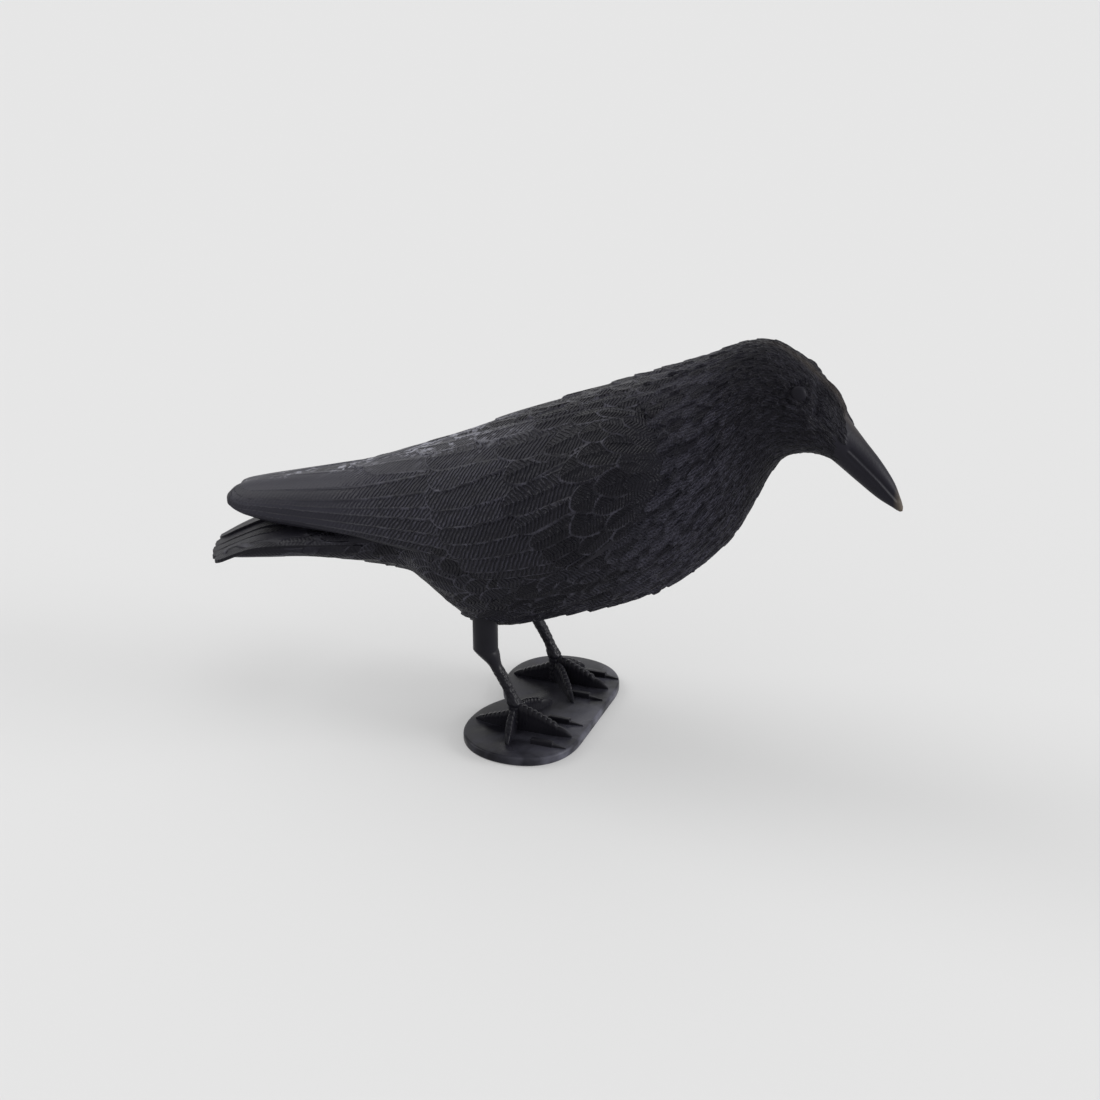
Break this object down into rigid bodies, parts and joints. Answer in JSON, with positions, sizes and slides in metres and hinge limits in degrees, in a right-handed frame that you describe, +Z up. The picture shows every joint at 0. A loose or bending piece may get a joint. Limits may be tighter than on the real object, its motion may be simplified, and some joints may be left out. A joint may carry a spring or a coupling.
{
  "type": "crow decoy",
  "caption": "Standing crow decoy with carved feathers, folded wings and a lowered bill, on scaly legs that share a small moulded plate.",
  "frame": {"origin": "centre of the plate's underside", "axes": "+X along the bird, towards its bill; +Y towards its left wing; +Z up from the floor"},
  "size_m": [0.372, 0.1192, 0.2206],
  "materials": {
    "body_plastic": "matt black moulded polyethylene, scuffed on the wing tops",
    "stand_plastic": "black injection-moulded plastic with a soft shine"
  },
  "bodies": {
    "root": {"crow_body": "body_plastic", "leg_stand": "stand_plastic"}
  },
  "joints": []
}
